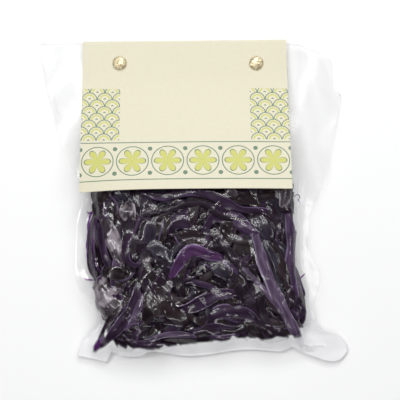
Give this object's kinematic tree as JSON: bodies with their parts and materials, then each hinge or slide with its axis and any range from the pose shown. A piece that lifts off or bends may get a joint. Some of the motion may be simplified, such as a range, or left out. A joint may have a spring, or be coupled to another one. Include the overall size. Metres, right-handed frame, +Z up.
{
  "type": "vacuum pack of cooked shredded red cabbage",
  "caption": "Clear vacuum pouch of dark violet cooked cabbage strips, lying flat, with a folded cream header card riveted over its top edge.",
  "frame": {"origin": "middle of the pack's box, on the plane that the pack lies on", "axes": "+Z up, out of the pack's front face; +Y along the pack, towards the header card's fold; +X to the right as its front is seen with the card at the top"},
  "size_m": [0.2204, 0.2332, 0.0269],
  "materials": {
    "cabbage": "gloss",
    "film": "gloss",
    "card": "matte",
    "brass": "polished"
  },
  "bodies": {
    "root": {"cabbage_shreds": "cabbage", "film_front": "film", "film_back": "film", "header_card": "card", "rivet_left": "brass", "rivet_right": "brass"}
  },
  "joints": []
}
